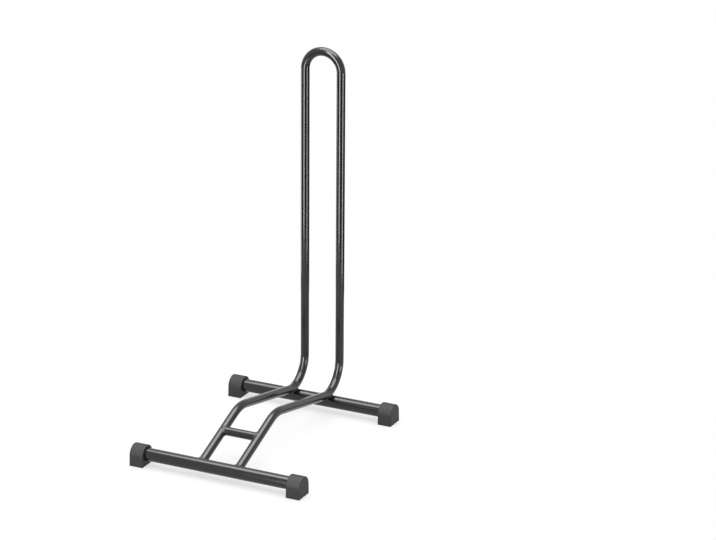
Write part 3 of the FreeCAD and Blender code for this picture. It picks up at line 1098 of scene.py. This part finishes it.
@dataclass
class RubberFoot:
    """A moulded rubber foot, pushed over a cross tube's end.

    Its section is a D lying on its flat side, with grooves along the sole. The rounding of
    both rims fades from their own radius to the sole's over rim_fade above the floor.
    """

    node: str
    side: Side
    rubber: bpy.types.Material
    rim_radius: float = 1.5 * MILLIMETRE
    mouth_radius: float = 1.0 * MILLIMETRE
    sole_radius: float = 0.7 * MILLIMETRE
    rim_fade: float = 6.0 * MILLIMETRE
    corner_radius: float = 0.7 * MILLIMETRE
    groove_width: float = 3.0 * MILLIMETRE
    groove_depth: float = 2.0 * MILLIMETRE
    groove_pitch: float = 12.0 * MILLIMETRE
    groove_edge: float = 0.4 * MILLIMETRE
    groove_rows: tuple[int, ...] = (-1, 0, 1)
    end_wall: float = 4.0 * MILLIMETRE
    socket_clearance: float = 0.1 * MILLIMETRE
    lead_in: float = 0.6 * MILLIMETRE
    crown_steps: int = 56
    corner_steps: int = 4
    rim_steps: int = 8
    socket_sides: int = 72

    def outline(self, half_width: float, rise: float) -> np.ndarray:
        """The section's outline, counter-clockwise from the sole's corner at low Y.

        Args:
            half_width: Half the foot's width, which is the crown's radius.
            rise: The height of the crown's centre.

        Returns:
            The points, as Y and Z.
        """
        corners = [(-half_width, 0.0, self.corner_radius)]
        for row in self.groove_rows:
            near = row * self.groove_pitch - self.groove_width / 2
            far = near + self.groove_width
            corners += [
                (near, 0.0, self.groove_edge),
                (near, self.groove_depth, self.groove_edge),
                (far, self.groove_depth, self.groove_edge),
                (far, 0.0, self.groove_edge),
            ]
        corners.append((half_width, 0.0, self.corner_radius))
        for angle in np.linspace(0, math.pi, self.crown_steps + 1):
            y, z = half_width * math.cos(angle), rise + half_width * math.sin(angle)
            corners.append((y, z, 0.0))
        return rounded_outline(corners, self.corner_steps)

    def rings(self, outline: np.ndarray, length: float) -> list[np.ndarray]:
        """The outline carried from the mouth's rounded rim to the closed end's.

        Args:
            outline: The section's outline.
            length: The foot's length.

        Returns:
            One ring of points for each station, from the mouth outwards.
        """
        tangent = headings(outline)
        inwards = np.stack([-tangent[:, 1], tangent[:, 0]], axis=1)
        full = smooth_step(outline[:, 1] / self.rim_fade)
        quarter = np.linspace(0, math.pi / 2, self.rim_steps + 1)
        rings = []
        for start, sign, rim_radius, angles in (
            (0.0, 1, self.mouth_radius, quarter[::-1]),
            (length, -1, self.rim_radius, quarter),
        ):
            radius = self.sole_radius + (rim_radius - self.sole_radius) * full
            for angle in angles:
                x = start + sign * radius * (1 - math.sin(angle))
                inset = (radius * (1 - math.cos(angle)))[:, None]
                rings.append(np.column_stack([x, outline + inwards * inset]))
        return rings

    def socket(self, radius: float, rise: float, length: float) -> list[np.ndarray]:
        """The socket's rings, from its chamfered mouth to its bottom.

        Args:
            radius: The socket's radius.
            rise: The height of its axis.
            length: The foot's length.

        Returns:
            One ring of points for each station.
        """
        angle = turns(self.socket_sides)
        circle = np.column_stack([np.cos(angle), np.sin(angle)])
        stations = (
            (0.0, radius + self.lead_in),
            (self.lead_in, radius),
            (length - self.end_wall, radius),
        )
        return [
            np.column_stack([np.full(len(angle), x), circle * r + [0, rise]]) for x, r in stations
        ]

    def make(self) -> None:
        """Build the foot at its node's place."""
        low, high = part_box(self.node)
        length = high.x - low.x
        middle = (low.y + high.y) / 2
        half_width = (high.y - low.y) / 2
        rise = high.z - half_width
        tube_low, tube_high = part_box("front_cross_tube")
        bore = (tube_high.z - tube_low.z) / 2 + self.socket_clearance
        tube_rise = (tube_high.z + tube_low.z) / 2 - low.z

        shape = bmesh.new()
        outer = loft(shape, self.rings(self.outline(half_width, rise), length))
        inner = loft(shape, self.socket(bore, tube_rise, length))
        for face in shape.faces:
            face.smooth = True
        for loops in ([outer[0], inner[0]], [outer[-1]], [inner[-1]]):
            fill(shape, loops)
        bmesh.ops.recalc_face_normals(shape, faces=shape.faces)
        mesh = bpy.data.meshes.new(f"moulded_{self.node}")
        shape.to_mesh(mesh)
        shape.free()

        right = self.side is Side.RIGHT
        turn = Matrix.Rotation(0.0 if right else math.pi, 4, "Z")
        mouth = Vector((low.x if right else high.x, middle, low.z))
        mesh.transform(Matrix.Translation(mouth) @ turn)
        mesh.materials.append(self.rubber)
        piece = in_scene(bpy.data.objects.new(mesh.name, mesh))
        settle_normals(piece)
        hand_over(piece, self.node)


def smooth_step(share: np.ndarray) -> np.ndarray:
    """A soft rise from 0 to 1 as share goes from 0 to 1."""
    share = np.clip(share, 0, 1)
    return share * share * (3 - 2 * share)


def loft(shape: bmesh.types.BMesh, rings: Sequence[np.ndarray]) -> list[list[bmesh.types.BMVert]]:
    """Join rings of equally many points with faces.

    Args:
        shape: The mesh to add to.
        rings: The rings' points.

    Returns:
        The rings' vertices.
    """
    loops = [[shape.verts.new(point) for point in ring] for ring in rings]
    for first, second in zip(loops, loops[1:]):
        for number in range(len(first)):
            after = (number + 1) % len(first)
            shape.faces.new((first[number], first[after], second[after], second[number]))
    return loops


def fill(shape: bmesh.types.BMesh, loops: Sequence[Sequence[bmesh.types.BMVert]]) -> None:
    """Fill the flat area between one ring and a hole in it, or inside one ring.

    Args:
        shape: The mesh to add to. The new faces are shaded flat.
        loops: The rings' vertices.
    """
    edges = [
        shape.edges.get((vert, loop[(number + 1) % len(loop)]))
        for loop in loops
        for number, vert in enumerate(loop)
    ]
    made = bmesh.ops.triangle_fill(shape, edges=edges, use_beauty=True)
    for item in made["geom"]:
        if isinstance(item, bmesh.types.BMFace):
            item.smooth = False


def settle_normals(piece: bpy.types.Object) -> None:
    """Weigh a piece's shading by face area, so that flats beside small rounds stay flat.

    Args:
        piece: The piece.
    """
    modifier = piece.modifiers.new("even shading", "WEIGHTED_NORMAL")
    modifier.keep_sharp = True
    make_plain(piece)


@dataclass(frozen=True)
class Lamp:
    """One soft area lamp, which the camera doesn't see. gloss_only ones show in gloss alone."""

    name: str
    spot: Triple
    facing: Triple
    width: float
    height: float
    radiance: float
    gloss_only: bool = False
    panel: Panel = Panel.RECTANGLE

    def hang(self) -> None:
        """Put the lamp up."""
        data = bpy.data.lights.new(self.name, "AREA")
        data.shape = self.panel.name
        data.size = self.width
        data.size_y = self.height
        data.energy = self.radiance * math.pi * self.width * self.height * self.panel.value
        lamp = in_scene(bpy.data.objects.new(self.name, data))
        lamp.visible_camera = False
        lamp.visible_diffuse = not self.gloss_only
        turn = Vector(self.facing).to_track_quat("-Z", "Y").to_matrix().to_4x4()
        lamp.matrix_world = Matrix.Translation(self.spot) @ turn


def staged_disc(
    name: str, radius: float, level: float, material: bpy.types.Material
) -> bpy.types.Object:
    """A level round sheet that belongs to the studio.

    Args:
        name: Its name.
        radius: Its radius.
        level: Its height above the frame's zero.
        material: Its material.

    Returns:
        The sheet.
    """
    shape = bmesh.new()
    place = Matrix.Translation((0, 0, level))
    bmesh.ops.create_circle(shape, cap_ends=True, segments=DISC_SIDES, radius=radius, matrix=place)
    mesh = bpy.data.meshes.new(name)
    shape.to_mesh(mesh)
    shape.free()
    mesh.materials.append(material)
    sheet = in_scene(bpy.data.objects.new(name, mesh))
    return sheet


@dataclass(frozen=True)
class Studio:
    """A round pale table top in a white room, soft lamps, and the camera."""

    table_radius: float = 0.85
    table_drop: float = 0.0002
    table_albedo: float = 0.5
    table_lift: float = 0.575
    table_height: float = 0.75
    floor_radius: float = 6.0
    floor_albedo: float = 0.2
    world_light: float = 0.75
    # The photograph's viewing angle, in degrees, and its focal length in frame widths
    azimuth: float = 25.698
    elevation: float = 19.526
    roll: float = -0.442
    focal_widths: float = 4.1
    sensor_width: float = 36.0
    # Where the front cross tube's middle lies, seen from the camera
    anchor_right: float = -0.2619
    anchor_down: float = 0.3716
    anchor_ahead: float = 5.4973

    def seen(self, tree: Tree) -> Wire:
        """1 for rays that show the background: seen directly, mirrored or through glass.

        Args:
            tree: The tree to add the mask to.

        Returns:
            The mask.
        """
        path = tree.add("ShaderNodeLightPath")
        mask = path["Is Camera Ray"].at_least(path["Is Glossy Ray"])
        return mask.at_least(path["Is Transmission Ray"])

    def make_table(self) -> None:
        """Make the table top, which keeps the rack's shadow."""
        tree = ShaderTree("pale table top")
        diffuse = tree.add("ShaderNodeBsdfDiffuse", {"Color": grey(self.table_albedo)})
        glow = tree.add("ShaderNodeEmission", {"Strength": self.seen(tree) * self.table_lift})
        material = tree.surface(tree.add("ShaderNodeAddShader", {0: diffuse, 1: glow}))
        staged_disc("table_top", self.table_radius, -self.table_drop, material)

    def make_floor(self) -> None:
        """Make the dark floor under the table, which only the paint's gloss shows."""
        tree = ShaderTree("dark floor")
        diffuse = tree.add("ShaderNodeBsdfDiffuse", {"Color": grey(self.floor_albedo)})
        material = tree.surface(diffuse)
        floor = staged_disc("dark_floor", self.floor_radius, -self.table_height, material)
        floor.visible_camera = False
        floor.visible_diffuse = False
        floor.visible_transmission = False
        floor.visible_shadow = False

    def make_world(self) -> None:
        """Make the world white where it is seen, and a plain soft light elsewhere."""
        world = bpy.data.worlds.new("studio")
        world.use_nodes = True
        world.node_tree.nodes.clear()
        bpy.context.scene.world = world
        tree = Tree(world.node_tree)
        strength = self.seen(tree) * (1 - self.world_light) + self.world_light
        light = tree.add("ShaderNodeBackground", {"Color": grey(1.0), "Strength": strength})
        tree.add("ShaderNodeOutputWorld", {"Surface": light})

    def hang_lamps(self) -> None:
        """Put up the lamps."""
        down = (0.0, 0.0, -1.0)
        for lamp in (
            Lamp("overhead softbox", (-0.1, 0.2, 1.8), down, 2.2, 2.2, 0.95),
            Lamp("ceiling card", (0.0, 0.1, 4.0), down, 4.7, 4.2, 6.366, True, Panel.ELLIPSE),
            Lamp("front card", (-0.19, -1.9, 1.4), (0.0, 1.0, 0.0), 0.8, 3.6, 13.1, True),
            Lamp("left card", (-2.0, 0.2, -0.2), (1.0, 0.0, 0.0), 1.0, 0.84, 4.9, True),
            Lamp("right card", (2.01, -0.12, -0.18), (-1.0, 0.0, 0.0), 0.72, 0.88, 11.0, True),
        ):
            lamp.hang()

    def place_camera(self) -> None:
        """Set up the camera at the photograph's viewing angle."""
        angles = (self.azimuth, self.elevation, self.roll)
        azimuth, elevation, roll = (math.radians(angle) for angle in angles)
        level = Vector((math.cos(azimuth), math.sin(azimuth), 0))
        ahead = Vector((0, 0, 1)).cross(level) * math.cos(elevation)
        ahead.z = -math.sin(elevation)
        right = level * math.cos(roll) + ahead.cross(level) * math.sin(roll)
        down = ahead.cross(right)
        spot = (
            centre_of("front_cross_tube")
            - right * self.anchor_right
            - down * self.anchor_down
            - ahead * self.anchor_ahead
        )
        data = bpy.data.cameras.new("camera")
        data.sensor_width = self.sensor_width
        data.lens = self.focal_widths * self.sensor_width
        camera = in_scene(bpy.data.objects.new("camera", data))
        axes = Matrix((right, -down, -ahead)).transposed()
        camera.matrix_world = Matrix.Translation(spot) @ axes.to_4x4()
        bpy.context.scene.camera = camera

    def make(self) -> None:
        """Set up the whole studio."""
        bpy.context.scene.view_settings.view_transform = "Standard"
        self.make_table()
        self.make_floor()
        self.make_world()
        self.hang_lamps()
        self.place_camera()


def main() -> None:
    """Build the rack and the studio, and report each piece."""
    logging.basicConfig(level=logging.INFO, format="%(name)s: %(message)s")
    paint = PowderCoat().material()
    rubber = MouldedRubber().material()
    rack = Frame(paint, make_tube_tree())
    rack.make_hoop()
    rack.make_rung()
    welds = Welds(rack, make_weld_tree())
    for end in End:
        rack.make_cross_tube(end)
        for side in Side:
            RubberFoot(f"{end.value}_{side.word}_foot", side, rubber).make()
    for side in Side:
        welds.make_front(side)
        welds.make_rung(side)
        welds.make_rear(side)
    Studio().make()


if __name__ == "__main__":
    main()
